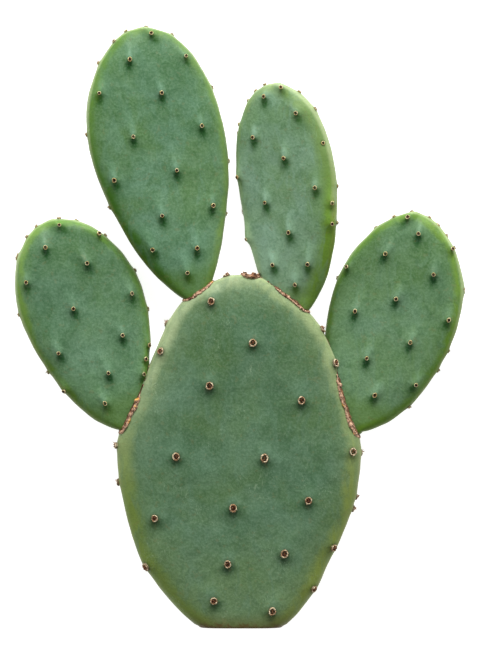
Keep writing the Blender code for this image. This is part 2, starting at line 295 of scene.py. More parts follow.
class Areole(NamedTuple):
    """An areole's place in its pad's own frame, in millimetres."""

    point: Vector
    normal: Vector
    along: Vector
    height: float  # how far the skin swells under it
    size: float  # radius of its felt
    on_rim: bool


class Kind(NamedTuple):
    """What the areoles of one sort look like, in millimetres."""

    swell: float  # height of the swelling on a face
    swell_rim: float  # and on the rim
    above: float  # spread of the swelling towards the tip
    below: float  # and towards the joint
    beside: float
    felt: float  # radius of the felt on a face
    felt_rim: float
    shadow: float  # length of the painted shade below an areole
    bristles: int


OLD = Kind(1.5, 0.8, 14.0, 6.0, 8.0, 2.4, 2.1, 6.5, 26)
YOUNG = Kind(2.5, 0.6, 12.0, 4.2, 4.4, 1.3, 1.2, 8.0, 12)
FELT_HEIGHT = 0.5  # of a felt ring over the skin, as a share of its radius
CLEARANCE = 0.25  # between an areole underneath and the surface the plant lies on
DEEPEST_SEAT = -1.6  # how far an areole underneath may sink
RIM_SHARE = 0.6  # a direction that leans out of the pad's plane by less than this is the rim's


def make_areole(place, point, normal, along, kind):
    """An areole, with its swelling kept low enough that nothing reaches out of the part's height."""
    on_rim = abs(normal.z) < RIM_SHARE
    upward = (place.to_3x3() @ normal).normalized().z
    height = kind.swell_rim if on_rim else kind.swell
    size = kind.felt_rim if on_rim else kind.felt
    if abs(upward) > 0.2:
        edge = CAD_BOUNDS[1][2] / MM if upward > 0 else CLEARANCE
        room = (edge - (place @ point).z / MM) / upward
        height = max(DEEPEST_SEAT, min(height, room - FELT_HEIGHT * size))
    return Areole(point, normal, along, height, size, on_rim)


def young_areoles(name, pad, place, mother_tree):
    """The areoles of a young pad: front, rim, and the back, which mirrors the front."""
    spots = [(v, turn_at(pad, u, v)) for u, v in FRONT_AREOLES[name]]
    spots += [(v, math.radians(turn)) for v, turn in RIM_AREOLES[name]]
    for u, v in FRONT_AREOLES[name]:
        if v + BACK_SHIFT < 0.93 * pad.length:
            spots.append((v + BACK_SHIFT, -turn_at(pad, -u, v + BACK_SHIFT)))
    made = [make_areole(place, *surface_at(pad, v, turn), YOUNG) for v, turn in spots]
    return [a for a in made if depth_in(mother_tree, place @ a.point) < -JOINT_MARGIN * MM]


def kd_tree(points):
    tree = kdtree.KDTree(len(points))
    for i, point in enumerate(points):
        tree.insert(point, i)
    tree.balance()
    return tree


def mother_areoles(place):
    """The basal pad's areoles, one at each areole node of the part."""
    turns = even_turns(MOTHER, 240)
    at = [(v, turn) for v in np.linspace(1.0, MOTHER.length - 0.5, 240) for turn in turns]
    rings = [ring(MOTHER, v, turns) for v in np.linspace(1.0, MOTHER.length - 0.5, 240)]
    tree = kd_tree([place @ Vector(p) for points in rings for p in points])
    made = []
    for node in areole_nodes():
        low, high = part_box(node)
        made.append(make_areole(place, *surface_at(MOTHER, *at[tree.find((low + high) / 2)[1]]), OLD))
    return made


def areole_nodes():
    return [node for node in sorted(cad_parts) if node.startswith("areole")]


def around_areole(points, areole):
    """The points' distances across, along and out of an areole, in millimetres."""
    away = points - np.array(areole.point)
    across = np.array(areole.normal.cross(areole.along))
    return away @ across, away @ np.array(areole.along), away @ np.array(areole.normal)


def swell(points, areoles, kind):
    """How far each point of the skin stands out for the areoles, in millimetres."""
    total = np.zeros(len(points))
    for areole in areoles:
        a, b, c = around_areole(points, areole)
        spread = np.where((b > 0) & (not areole.on_rim), kind.above, kind.below)
        far = (a / kind.beside) ** 2 + (b / spread) ** 2 + (c / 6.0) ** 2
        rise = areole.height / (1.0 + far) ** 2 * np.exp(-0.25 * far)
        total = np.where(np.abs(rise) > np.abs(total), rise, total)
    return total


def painted_shade_and_light(points, areoles, kind):
    """1 just below an areole, for painted shade where the skin is also bare of bloom, and -1 just above it,
    for a lighter ridge of bloom that is partly painted light.
    """
    total = np.zeros(len(points))
    for areole in areoles:
        a, b, c = around_areole(points, areole)
        reach = np.where(b < 0, kind.shadow, 0.7 * kind.above)
        width = areole.size * (1.15 + 0.9 * np.abs(b) / reach)
        narrow = np.exp(-((a / width) ** 2) - (b / reach) ** 2 * 1.6)
        wide = np.exp(-((a / (2.2 * width)) ** 2) - (b / (1.7 * reach)) ** 2 * 1.6)
        mark = (0.65 * narrow + 0.35 * wide) * np.exp(-((c / 4.0) ** 2))
        mark = mark * np.clip(-b / (0.6 * areole.size), -1.0, 1.0)
        total = np.where(np.abs(mark) > np.abs(total), mark, total)
    return total


def painted_shade_round_felt(points, areoles):
    """1 under an areole's felt and 0 a little way outside it, for painted shade where the felt sits in the
    skin.
    """
    near = np.zeros(len(points))
    for areole in areoles:
        far = np.linalg.norm(points - np.array(areole.point), axis=1) / (1.45 * areole.size)
        near = np.maximum(near, np.exp(-(far**4)))
    return near


def undulation(points, seed, size, height):
    """Slow unevenness of the skin, in millimetres."""
    shift = Vector((seed * 17.3, seed * 5.1, seed * 9.7))
    return np.array([height * noise.fractal(Vector(p) / size + shift, 0.8, 2.0, 3) for p in points])


# ---- Meshes ----


def depth_in(tree, point):
    """How deep a point is inside a closed surface. It is negative outside."""
    nearest, normal, _, distance = tree.find_nearest(point)
    return -distance if (point - nearest).dot(normal) > 0 else distance


def object_from(name, vertices, faces, attributes=None):
    mesh = bpy.data.meshes.new(name)
    mesh.from_pydata([tuple(v) for v in vertices], [], faces)
    mesh.validate()
    obj = bpy.data.objects.new(name, mesh)
    bpy.context.scene.collection.objects.link(obj)
    set_attributes(obj, attributes or {})
    mesh.shade_smooth()
    return obj


def set_attributes(obj, attributes):
    for key, values in attributes.items():
        layer = obj.data.attributes.new(key, "FLOAT", "POINT")
        layer.data.foreach_set("value", np.asarray(values, np.float32))


def apply_modifiers(obj):
    graph = bpy.context.evaluated_depsgraph_get()
    obj.update_tag()
    bpy.context.view_layer.update()
    applied = bpy.data.meshes.new_from_object(obj.evaluated_get(graph))
    obj.modifiers.clear()
    obj.data = applied


def loft_faces(rings, around):
    """Quads between successive rings that run anticlockwise, seen from where the loft is heading."""
    faces = []
    for k in range(rings - 1):
        low, high = k * around, (k + 1) * around
        for i in range(around):
            j = (i + 1) % around
            faces.append((low + i, low + j, high + j, high + i))
    return faces


def capped_faces(rings, around):
    """Faces of a closed loft: between its rings, and from its ends to two points that follow them."""
    faces = loft_faces(rings, around)
    first, top = rings * around, (rings - 1) * around
    for i in range(around):
        j = (i + 1) % around
        faces.append((j, i, first))
        faces.append((top + i, top + j, first + 1))
    return faces


def pad_faces(rings, around):
    """The same for a pad, whose rings run clockwise."""
    return [tuple(reversed(face)) for face in capped_faces(rings, around)]


def grid_normals(grid):
    """Outward directions at the points of a loft: rings first, then points round each."""
    along = np.gradient(grid, axis=0)
    around = np.roll(grid, -1, axis=1) - np.roll(grid, 1, axis=1)
    normals = np.cross(along, around)
    length = np.linalg.norm(normals, axis=2, keepdims=True)
    return normals / np.maximum(length, 1e-9)


def stations(pad, count):
    """Stations that space the rings evenly along the pad and evenly round its tip."""
    bows = np.sin(np.linspace(0.0, math.pi / 2, count, endpoint=False))
    return pad.start + (pad.length - pad.start) * bows


# The cut end of the basal pad, from the skin inwards: (share of the way in, station in millimetres).
CUT_RINGS = ((0.0, 0.9), (0.02, 0.25), (0.06, 0.0), (0.12, 0.35), (0.3, 1.2), (0.6, 1.8), (0.85, 2.1))
ROUND_END = 4.0  # millimetres by which a young pad's round foot reaches beyond its first station
MOTHER_GRID = (170, 236)  # rings, and points round each
YOUNG_GRID = (120, 150)
RELIEF_FADE = 6.0  # millimetres along which a skin's relief grows from nothing
CUT_EDGE = 0.5  # station at which it starts on the basal pad
SIDE_BLEND = 12.0  # millimetres off the middle line at which a side is wholly left or right
ON_CUTTER = 0.03  # a face this near to the cutter, in millimetres, was made by the cut


def skin_grid(pad, rings, around):
    """The loft's points before any relief, in the pad's own frame."""
    turns = even_turns(pad, around)
    return np.stack([ring(pad, v, turns) for v in stations(pad, rings)])


def shrunk(outline, share):
    """A ring of points drawn in towards their middle."""
    return outline + share * (outline.mean(axis=0) - outline)


def mother_cap(grid):
    """The rings of the cut end, from the middle outwards."""
    rings = []
    for share, v in reversed(CUT_RINGS):
        rings.append(shrunk(grid[0], share))
        rings[-1][:, 1] = v
    return np.stack(rings)


def round_foot(grid):
    """The rings of a young pad's round foot, from the middle outwards."""
    outline = grid[0]
    middle = outline.mean(axis=0)
    rings = []
    for angle in np.radians((84, 70, 55, 40, 26, 12)):
        points = middle + (outline - middle) * math.cos(angle)
        points[:, 1] = middle[1] - ROUND_END * math.sin(angle)
        rings.append(points)
    return np.stack(rings)


def closed_loft(name, grid, place, floor):
    """A closed mesh from a grid of rings with a point at each end, kept above a floor height."""
    rings, around, _ = grid.shape
    ends = [grid[0].mean(axis=0), grid[-1].mean(axis=0)]
    points = [place @ Vector(p) for p in np.concatenate([grid.reshape(-1, 3), ends])]
    for p in points:
        p.z = max(p.z, floor)
    return object_from(name, points, pad_faces(rings, around))


def skin_attributes(obj, pad, place, areoles, kind):
    """Gives a skin's points what its material reads: inset, rim, side, station, the painted shade and light
    round areoles, and foot, the painted shade round each felt.
    """
    local = np.array(place.inverted())
    points = np.array([v.co for v in obj.data.vertices])
    points = points @ local[:3, :3].T + local[:3, 3]
    edge = []
    for v in stations(pad, 160):
        middle, half, _, _, _ = section(pad, v)
        edge += [(middle - half, v, 0.0), (middle + half, v, 0.0)]
    tree = kd_tree([*edge, (pad.bend, pad.length, 0.0)])
    values = {
        "inset": [tree.find((p[0], p[1], 0.0))[2] for p in points],
        "rim": rim_share(pad, points),
        "side": np.sign(points[:, 0]) * np.minimum(1.0, np.abs(points[:, 0]) / SIDE_BLEND),
        "station": points[:, 1] / pad.length,
        "painted_shade_and_light": painted_shade_and_light(points, areoles, kind),
        "foot": painted_shade_round_felt(points, areoles),
    }
    set_attributes(obj, values)


def rim_share(pad, points):
    """0 where the plain surface faces out of the pad's plane, 1 where it faces along it."""
    at = np.linspace(pad.start, pad.length - 0.3, 400)
    table = np.array([section(pad, v) for v in at])

    def level(p):
        v = np.clip(p[:, 1], at[0], at[-1])
        middle, half, lift, thick, twist = (np.interp(v, at, table[:, k]) for k in range(5))
        u = p[:, 0] * np.cos(twist) - p[:, 2] * np.sin(twist)
        w = p[:, 2] * np.cos(twist) + p[:, 0] * np.sin(twist)
        return np.abs((u - middle) / half) ** FACE + np.abs((w - lift) / thick) ** EDGE

    steps = 0.25 * np.eye(3)
    slopes = np.array([level(points + step) - level(points - step) for step in steps])
    return 1.0 - np.abs(slopes[2]) / np.maximum(1e-9, np.linalg.norm(slopes, axis=0))


def relief(points, areoles, kind, seed):
    """All the unevenness of a skin, in millimetres."""
    waves = undulation(points, seed, 34.0, 0.5) + undulation(points, seed + 7, 9.0, 0.11)
    return swell(points, areoles, kind) + waves


def raised(grid, areoles, kind, seed):
    """A skin's grid with its relief, which fades out towards the joint."""
    flat = grid.reshape(-1, 3)
    first = CUT_EDGE if kind is OLD else flat[0, 1]
    fade = np.clip((flat[:, 1] - first) / RELIEF_FADE, 0.0, 1.0)
    out = grid_normals(grid).reshape(-1, 3) * (relief(flat, areoles, kind, seed) * fade)[:, None]
    return (flat + out).reshape(grid.shape)


def build_mother(place):
    areoles = mother_areoles(place)
    plain = skin_grid(MOTHER, *MOTHER_GRID)
    body = raised(plain, areoles, OLD, 1)
    skin = closed_loft("basal_skin", np.concatenate([mother_cap(plain), body[1:]]), place, 0.0)
    skin_attributes(skin, MOTHER, place, areoles, OLD)
    return skin, areoles


def swollen_mother(place, swelling):
    """The basal pad's plain surface, swollen by some millimetres: points and faces."""
    grid = skin_grid(MOTHER, 90, 120)
    grid = grid + grid_normals(grid) * swelling
    rings, around, _ = grid.shape
    ends = [grid[0].mean(axis=0), grid[-1].mean(axis=0) + np.array([0, swelling, 0])]
    points = [place @ Vector(p) for p in np.concatenate([grid.reshape(-1, 3), ends])]
    return points, pad_faces(rings, around)


def build_young(name, pad, place, mother_tree, cutter, seed):
    """A young pad's skin, its areoles and the seam where it leaves the basal pad."""
    areoles = young_areoles(name, pad, place, mother_tree)
    plain = skin_grid(pad, *YOUNG_GRID)
    grid = np.concatenate([round_foot(plain), raised(plain, areoles, YOUNG, seed)])
    skin = closed_loft(name.replace("pad", "skin"), grid, place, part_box(name)[0].z)
    cut = skin.modifiers.new("cut", "BOOLEAN")
    cut.operation = "DIFFERENCE"
    cut.solver = "EXACT"
    cut.object = cutter
    apply_modifiers(skin)
    skin.data.shade_smooth()
    skin.data.set_sharp_from_angle(angle=math.radians(50))
    skin_attributes(skin, pad, place, areoles, YOUNG)
    return skin, areoles, seam_of(skin, cutter)


def seam_of(skin, cutter):
    """The closed line round a cut pad's cut face, as points about a millimetre apart."""
    plain = [cutter.matrix_world @ v.co for v in cutter.data.vertices]
    tree = BVHTree.FromPolygons(plain, [tuple(face.vertices) for face in cutter.data.polygons])
    mesh = bmesh.new()
    mesh.from_mesh(skin.data)
    mesh.verts.ensure_lookup_table()
    inner = set()
    for face in mesh.faces:
        _, normal, _, distance = tree.find_nearest(face.calc_center_median())
        if distance < ON_CUTTER * MM and face.normal.dot(normal) < -0.9:
            inner.add(face.index)
    onward = {}
    for edge in mesh.edges:
        if len({face.index in inner for face in edge.link_faces}) == 2:
            for here, there in (edge.verts, reversed(edge.verts)):
                onward.setdefault(here.index, []).append(there.index)
    loops = []
    left = set(onward)
    while left:
        ahead = [min(left)]
        loops.append([])
        while ahead:
            loops[-1].append(mesh.verts[ahead[0]].co.copy())
            left.discard(ahead[0])
            ahead = [i for i in onward[ahead[0]] if i in left]
    mesh.free()
    loop = np.array(max(loops, key=len))
    closed = np.vstack([loop, loop[:1]])
    along = np.concatenate([[0.0], np.cumsum(np.linalg.norm(np.diff(closed, axis=0), axis=1))])
    even = np.linspace(0.0, along[-1], int(along[-1] / MM), endpoint=False)
    points = np.stack([np.interp(even, along, closed[:, k]) for k in range(3)], axis=1)
    for _ in range(6):
        points = (np.roll(points, 1, axis=0) + 2 * points + np.roll(points, -1, axis=0)) / 4
    return [Vector(p) for p in points]


# ---- Areole pieces ----

# A felt ring's outline, as shares of its radius: out and up from under its rim to its middle.
FELT_OUTLINE = (
    (0.84, -0.35), (1.00, -0.14), (1.06, 0.08), (1.02, 0.28), (0.92, 0.42), (0.80, 0.46), (0.70, 0.36),
    (0.63, 0.16), (0.58, -0.02), (0.40, -0.10), (0.20, -0.06),
)
FELT_SIDES = 30
FELT_FLOOR = 0.05 * MM  # felt underneath is pressed flat at this height
WOOL_HAIRS = 14


def seat_of(areole, place):
    """The frame at an areole's foot in the part's frame, with z out of the skin, in millimetres."""
    across = areole.along.cross(areole.normal)
    turned = Matrix((across, areole.along, areole.normal)).transposed().to_4x4()
    foot = areole.point + areole.normal * areole.height
    return place @ Matrix.Translation(foot) @ turned


def felt_ring(areole, place, rng):
    """Points, faces and the share outwards of each point of one felt ring with its stray hairs."""
    seat = seat_of(areole, place)
    seed = Vector([rng.uniform(0, 50) for _ in range(3)])
    stretch = rng.uniform(1.0, 1.2)
    size = areole.size * rng.uniform(0.9, 1.08)
    points, out = [], []
    for radius, height in FELT_OUTLINE:
        for i in range(FELT_SIDES):
            angle = 2 * math.pi * i / FELT_SIDES
            spoke = Vector((math.cos(angle), math.sin(angle), 0))
            clump = noise.noise(seed + 2.6 * spoke)
            wide = 1.0 + 0.10 * noise.noise(seed * 2 + 1.1 * spoke) + 0.09 * clump
            tall = 1.0 + 0.9 * clump if height > 0 else 1.0
            fuzz = 0.05 * noise.noise(seed * 3 + 7.0 * spoke + Vector((0, 0, 5 * radius)))
            x, y = radius * wide * spoke.x, stretch * radius * wide * spoke.y
            points.append(seat @ (size * Vector((x, y, height * tall + fuzz))))
            out.append(radius)
    points += [seat @ (size * Vector((0, 0, -0.4))), seat @ (size * Vector((0, 0, -0.04)))]
    parts = [(points, capped_faces(len(FELT_OUTLINE), FELT_SIDES), [*out, 0.0, 0.0])]
    for _ in range(WOOL_HAIRS):
        angle = rng.uniform(0, 2 * math.pi)
        spoke = Vector((math.cos(angle), stretch * math.sin(angle), 0))
        away = spoke * rng.uniform(0.3, 1.0) + Vector((0, 0, rng.uniform(0.2, 0.9)))
        foot = spoke * rng.uniform(0.75, 1.0) + Vector((0, 0, 0.2))
        length = rng.uniform(0.2, 0.5) * size
        parts.append(bristle(seat, foot * size, away.normalized(), length, 0.04 * size, 0.9))
    return joined(parts)


def bristle(seat, foot, away, length, radius, value=None):
    """Points, faces and values of one bristle with five sides. The values run from 0 at its foot to 1."""
    across = away.cross(Vector((1, 0.3, 0.2))).normalized()
    beside = away.cross(across)
    points, share = [], []
    for step, width in ((-0.25, 1.0), (0.45, 0.9), (0.8, 0.5)):
        middle = foot + away * (step * length)
        for k in range(5):
            a = 2 * math.pi * k / 5
            points.append(seat @ (middle + (across * math.cos(a) + beside * math.sin(a)) * radius * width))
            share.append(max(0.0, step))
    points += [seat @ (foot - away * (0.3 * length)), seat @ (foot + away * length)]
    share += [0.0, 1.0]
    return points, capped_faces(3, 5), share if value is None else [value] * len(share)


def glochids(areole, place, rng, count):
    """The bristles in an areole's hollow: most short and close, a few longer on its upper side."""
    seat = seat_of(areole, place)
    size = areole.size
    parts = []
    for k in range(round(1.5 * count) if areole.on_rim else count):
        angle = rng.uniform(0, 2 * math.pi) if k % 4 else rng.uniform(0.25, 0.75) * math.pi
        lean = rng.uniform(0.0, 0.9 if areole.on_rim else 0.5)
        spoke = Vector((math.cos(angle), math.sin(angle), 0))
        away = spoke * math.sin(lean) + Vector((0, 0, math.cos(lean)))
        length = size * (rng.uniform(0.3, 0.62) if k % 4 else rng.uniform(0.55, 0.95))
        if areole.on_rim:
            length *= rng.uniform(1.0, 2.4)
        foot = spoke * rng.uniform(0.0, 0.42) * size
        parts.append(bristle(seat, foot, away, length, rng.uniform(0.07, 0.11) * size))
    return parts


def joined(parts):
    """One (points, faces, values) part from many, kept above the surface the plant lies on."""
    points, faces, values = [], [], []
    for part_points, part_faces, part_values in parts:
        base = len(points)
        points += part_points
        faces += [tuple(base + i for i in face) for face in part_faces]
        values += part_values
    for p in points:
        p.z = max(p.z, FELT_FLOOR)
    return points, faces, values


def gather(name, parts, attribute):
    """One object from many (points, faces, values) parts."""
    points, faces, values = joined(parts)
    return object_from(name, points, faces, {attribute: values})


def build_areoles(name, areoles, place, kind, rng):
    """The felt of one pad as one piece, and its glochids as another."""
    felt = gather(f"felt_{name}", [felt_ring(a, place, rng) for a in areoles], "outward")
    tufts = [part for a in areoles for part in glochids(a, place, rng, kind.bristles)]
    return felt, gather(f"glochids_{name}", tufts, "tip")


# ---- Corky joints, the fruit scar and the cut ----


class Knot(NamedTuple):
    """A point of a seam, the way off the skin there, and the way off the seam along the skin."""

    point: Vector
    up: Vector
    out: Vector


def frames_along(points, tree):
    """A knot for each point of a closed seam on the basal pad."""
    centre = sum(points, Vector()) / len(points)
    made = []
    for i, point in enumerate(points):
        _, up, _, _ = tree.find_nearest(point)
        ahead = points[(i + 1) % len(points)] - points[i - 1]
        out = ahead.cross(up).normalized()
        if out.dot(point - centre) < 0:
            out.negate()
        made.append(Knot(point, up.normalized(), out))
    return made


def strand(loop, span, out, up, radius, tone, seed, weights=None):
    """A lumpy strand of cork along part of a loop. out and up are offsets from it, in millimetres."""
    start, length = span
    sides = 9
    closed = length >= 1.0
    count = len(loop)
    steps = count if closed else max(6, int(count * length))
    points = []
    for k in range(steps):
        share = k / steps if closed else k / (steps - 1)
        i = int((start + length * share) * count) % count
        knot = loop[i]
        ahead = (loop[(i + 1) % count].point - loop[i - 1].point).normalized()
        wander = Vector((k * 0.16, seed * 3.1, 0.0))
        if closed:
            angle = 2 * math.pi * share
            wander = Vector((3 * math.cos(angle), 3 * math.sin(angle), seed * 3.1))
        shift_out = out + 0.7 * noise.noise(wander)
        shift_up = up + 0.5 * noise.noise(wander + Vector((7, 3, 1)))
        width = radius * (1.0 + 0.8 * noise.noise(wander * 2.4 + Vector((1, 9, 4))))
        if not closed:
            width *= max(0.15, math.sin(math.pi * share)) ** 0.5
        if weights:
            width *= weights[i]
        middle = knot.point + knot.out * (shift_out * MM) + knot.up * (shift_up * MM)
        side = ahead.cross(knot.up).normalized()
        upward = side.cross(ahead)
        for s in range(sides):
            a = 2 * math.pi * s / sides
            points.append(middle + (side * math.cos(a) + upward * math.sin(a) * 0.8) * width * MM)
    faces = [tuple(reversed(face)) for face in loft_faces(steps, sides)]
    last = (steps - 1) * sides
    if closed:
        faces += [(last + s, s, (s + 1) % sides, last + (s + 1) % sides) for s in range(sides)]
    else:
        faces.append(tuple(range(sides)))
        faces.append(tuple(last + s for s in reversed(range(sides))))
    return points, faces, [tone] * len(points)


def lump(point, radius, tone, seed):
    """A small knobbly crumb of cork."""
    mesh = bmesh.new()
    bmesh.ops.create_icosphere(mesh, subdivisions=2, radius=1.0)
    points = []
    for vert in mesh.verts:
        knob = 1.0 + 0.4 * noise.noise(vert.co * 1.3 + Vector((seed, 2 * seed, 0)))
        points.append(point + vert.co * radius * knob * MM)
    faces = [tuple(v.index for v in face.verts) for face in mesh.faces]
    mesh.free()
    return points, faces, [tone] * len(points)


def crust(name, parts, depth, seed):
    """Grows strands and crumbs into one crust, cracks its surface and keeps their tones."""
    points, _, tones = joined(parts)
    tree = kd_tree(points)
    obj = gather(name, parts, "tone")
    remesh = obj.modifiers.new("grow", "REMESH")
    remesh.mode = "VOXEL"
    remesh.voxel_size = CRUST_VOXEL * MM
    apply_modifiers(obj)
    normals = [v.normal.copy() for v in obj.data.vertices]
    crest, tone = [], []
    for vert, normal in zip(obj.data.vertices, normals):
        near = tree.find_n(vert.co, 4)
        tone.append(sum(tones[i] for _, i, _ in near) / len(near))
        at = vert.co / (CRUST_GRAIN * MM) + Vector((seed, 0, 0))
        height = noise.fractal(at, 0.9, 2.1, 4)
        crack = max(0.0, 1.0 - abs(noise.noise(at * 0.7 + Vector((4, 4, 4)))) / 0.12)
        vert.co += normal * ((height * 0.6 - crack * 0.7) * depth * MM)
        vert.co.z = max(vert.co.z, FELT_FLOOR)
        crest.append(max(0.0, min(1.0, 0.5 + 0.8 * height - 0.6 * crack)))
    set_attributes(obj, {"crest": crest, "tone": tone})
    obj.data.shade_smooth()
    return obj


def one_of(rng, tones):
    return rng.choice(tones) if len(tones) > 1 else tones[0]


def shreds(rng, loop, count, ranges, tones, seed, weights=None, wide=1.0, thick=1.0):
    """Strands at random along a loop. ranges are of their length, place out and up, and radius."""
    made = []
    for k in range(count):
        start = rng.random()
        length, out, up, radius = (rng.uniform(*pair) for pair in ranges)
        tone = one_of(rng, tones)
        made.append(strand(loop, (start, length), out * wide, up, radius * thick, tone, seed + k, weights))
    return made


def crumbs(rng, loop, count, ranges, tones, seed, shown, wide=1.0, big=1.0):
    """Crumbs at random along a loop, where shown. ranges are of their place out and up, and radius."""
    made = []
    for k in range(count):
        i = rng.randrange(len(loop))
        out, up, radius = (rng.uniform(*pair) for pair in ranges)
        if shown[i]:
            at = loop[i].point + loop[i].out * (out * wide * MM) + loop[i].up * (up * MM)
            made.append(lump(at, radius * big, one_of(rng, tones), seed + k))
    return made


DARK, BROWN, TAN = 0.0, 0.5, 1.0  # tones of cork; DARK also serves as painted shade in the joints' gaps
WHOLE = (0.0, 1.0)  # the span of a strand that closes on itself
CRUST_VOXEL = 0.36
CRUST_GRAIN = 1.4
SCAR_RADIUS = 5.8

# Where each seam is corky, from the left end of the joint, -1, to its right end, 1, and how thickly.
CORKY = {
    "pad_upper_left": (-1.2, 1.2, 0.85),
    "pad_upper_right": (-0.15, 1.2, 1.0),
    "pad_lower_left": (-1.2, 0.10, 1.45),
    "pad_lower_right": (-0.10, 1.2, 1.45),
}


def corkiness(loop, across, span):
    """How corky each knot of a seam is, from 0 to 1."""
    low, high, _ = span
    centre = sum((knot.point for knot in loop), Vector()) / len(loop)
    at = [(knot.point - centre).dot(across) for knot in loop]
    widest = max(abs(x) for x in at)
    return [max(0.0, min(1.0, 0.5 + 6 * min(x / widest - low, high - x / widest))) for x in at]


def build_collar(name, seam, across, tree, seed):
    """The torn, corky lips of one joint, with dark strands between them as painted shade in the gap."""
    rng = random.Random(seed)
    loop = frames_along(seam, tree)
    cork = corkiness(loop, across, CORKY[name])
    gap_shade = [0.45 + 0.55 * share for share in cork]
    bulk = CORKY[name][2]
    parts = [
        # Painted shade: near-black strands along the seam stand for the shadow in the gap.
        strand(loop, WHOLE, -0.5, 0.1, 1.0, DARK, seed, gap_shade),
        strand(loop, WHOLE, 0.5 * bulk, 0.0, 0.7 * bulk, DARK, seed + 1, gap_shade),
        strand(loop, WHOLE, 1.35 * bulk, 0.3, 0.62 * bulk, TAN, seed + 2, cork),
    ]
    lips = ((0.12, 0.35), (0.9, 2.3), (0.1, 0.7), (0.4, 0.65))
    parts += shreds(rng, loop, 9, lips, (TAN,), seed + 10, cork, bulk, bulk)
    inner = ((0.05, 0.16), (-0.2, 1.0), (0.6, 1.5), (0.35, 0.55))
    parts += shreds(rng, loop, 8, inner, (BROWN,), seed + 20, cork, thick=bulk)
    small = ((-0.4, 1.6), (0.0, 0.9), (0.4, 0.9))
    parts += crumbs(rng, loop, 14, small, (DARK, BROWN, TAN), seed + 40, [c > 0.6 for c in cork], bulk)
    large = ((0.4, 1.8), (0.3, 0.8), (0.9, 1.3))
    shown = [c > 0.9 for c in cork]
    parts += crumbs(rng, loop, round(10 * bulk), large, (TAN,), seed + 90, shown, bulk, bulk)
    return crust(name.replace("pad", "collar"), parts, 0.22, seed)


def build_scar(tree, seed):
    """The torn rim that a fallen fruit left on top of the basal pad."""
    rng = random.Random(seed)
    low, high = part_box("fruit_scar")
    middle, up, _, _ = tree.find_nearest((low + high) / 2)
    along = Vector((0, 0, 1)).cross(up).normalized()
    across = up.cross(along)
    loop = []
    for i in range(80):
        a = 2 * math.pi * i / 80
        away = (along * math.cos(a) + across * math.sin(a) * 0.85).normalized()
        point, normal, _, _ = tree.find_nearest(middle + away * (SCAR_RADIUS * MM))
        loop.append(Knot(point, normal.normalized(), away))
    parts = [
        strand(loop, WHOLE, -1.2, 0.2, 1.2, DARK, seed),
        strand(loop, WHOLE, 0.1, 0.6, 0.8, BROWN, seed + 1),
        strand(loop, WHOLE, 0.6, 0.2, 0.6, TAN, seed + 2),
    ]
    torn = ((0.08, 0.3), (-1.2, 1.3), (0.6, 3.4), (0.4, 0.8))
    parts += shreds(rng, loop, 16, torn, (BROWN, TAN, TAN), seed + 9)
    inside = ((-0.4, 4.8), (0.0, 2.0), (0.7, 1.4))
    parts += crumbs(rng, loop, 34, inside, (DARK, BROWN, BROWN), seed + 30, [True] * 80, -1.0)
    return crust("fruit_scar_crust", parts, 0.5, seed)


def build_callus(place, seed):
    """The dried skin over the knife cut: a thin closed sheet with sunken fibres."""
    outline = skin_grid(MOTHER, *MOTHER_GRID)[0]
    shares = np.concatenate([[0.035], np.linspace(0.07, 0.97, 26)])
    front, back = [], []
    for share in shares:
        level = np.interp(share, *zip(*CUT_RINGS))
        for x, _, z in shrunk(outline, share):
            wrinkle = 0.28 * noise.fractal(Vector((x, 0, z)) / 3.2 + Vector((seed, 0, 0)), 0.9, 2.1, 3)
            front.append(Vector((x, level - 0.45 - wrinkle * min(1.0, 6 * share), z)))
            back.append(Vector((x, level + 0.5, z)))
    rings, around = len(shares), len(outline)
    points = [place @ p for p in back + front]
    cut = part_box("basal_pad")[0].y
    for p in points:
        p.y = max(p.y, cut)
        p.z = max(p.z, 0.3 * MM)
    x, _, z = outline.mean(axis=0)
    points += [place @ Vector((x, level, z)) for level in (2.6, 1.7)]
    base, inner = rings * around, (rings - 1) * around
    faces = loft_faces(rings, around)
    faces += [tuple(base + i for i in reversed(face)) for face in faces]
    for i in range(around):
        j = (i + 1) % around
        faces.append((i, j, base + j, base + i))
        faces.append((inner + j, inner + i, 2 * base))
        faces.append((base + inner + i, base + inner + j, 2 * base + 1))
    depth = [min(1.0, share * 2.2) for share in shares for _ in range(around)]
    callus = object_from("cut_callus", points, faces, {"inward": depth + depth + [1.0, 1.0]})
    mesh = bmesh.new()
    mesh.from_mesh(callus.data)
    bmesh.ops.recalc_face_normals(mesh, faces=mesh.faces)
    mesh.to_mesh(callus.data)
    mesh.free()
    return callus


# ---- Materials ----


